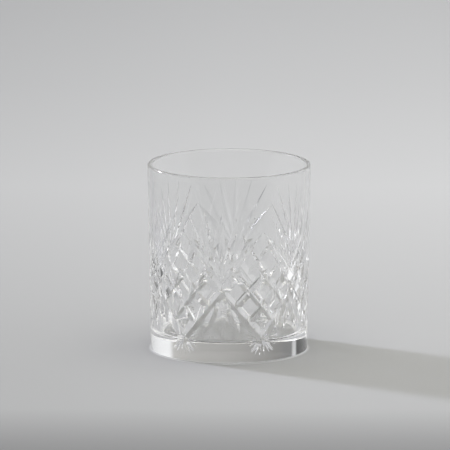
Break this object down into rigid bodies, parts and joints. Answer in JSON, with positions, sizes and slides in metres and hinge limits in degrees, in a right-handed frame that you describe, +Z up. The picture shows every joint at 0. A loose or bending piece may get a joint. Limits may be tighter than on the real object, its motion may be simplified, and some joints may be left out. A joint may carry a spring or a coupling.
{
  "type": "water glass",
  "caption": "Clear cut-glass water tumbler with a solid foot ground flat, a tapered bowl cut with fans over a trellis of diamonds, and a thin rounded lip; holds a cold drink.",
  "frame": {"origin": "centre of the foot's standing plane, on the axis of the glass", "axes": "+Z up along the axis towards the rim; -Y is the front, through a crossing of the long cuts; +X to the right"},
  "size_m": [0.08, 0.08, 0.092],
  "materials": {
    "clear_glass": "clear, colourless, fire-polished"
  },
  "bodies": {
    "root": {"foot": "clear_glass", "bowl": "clear_glass", "lip": "clear_glass"}
  },
  "joints": []
}
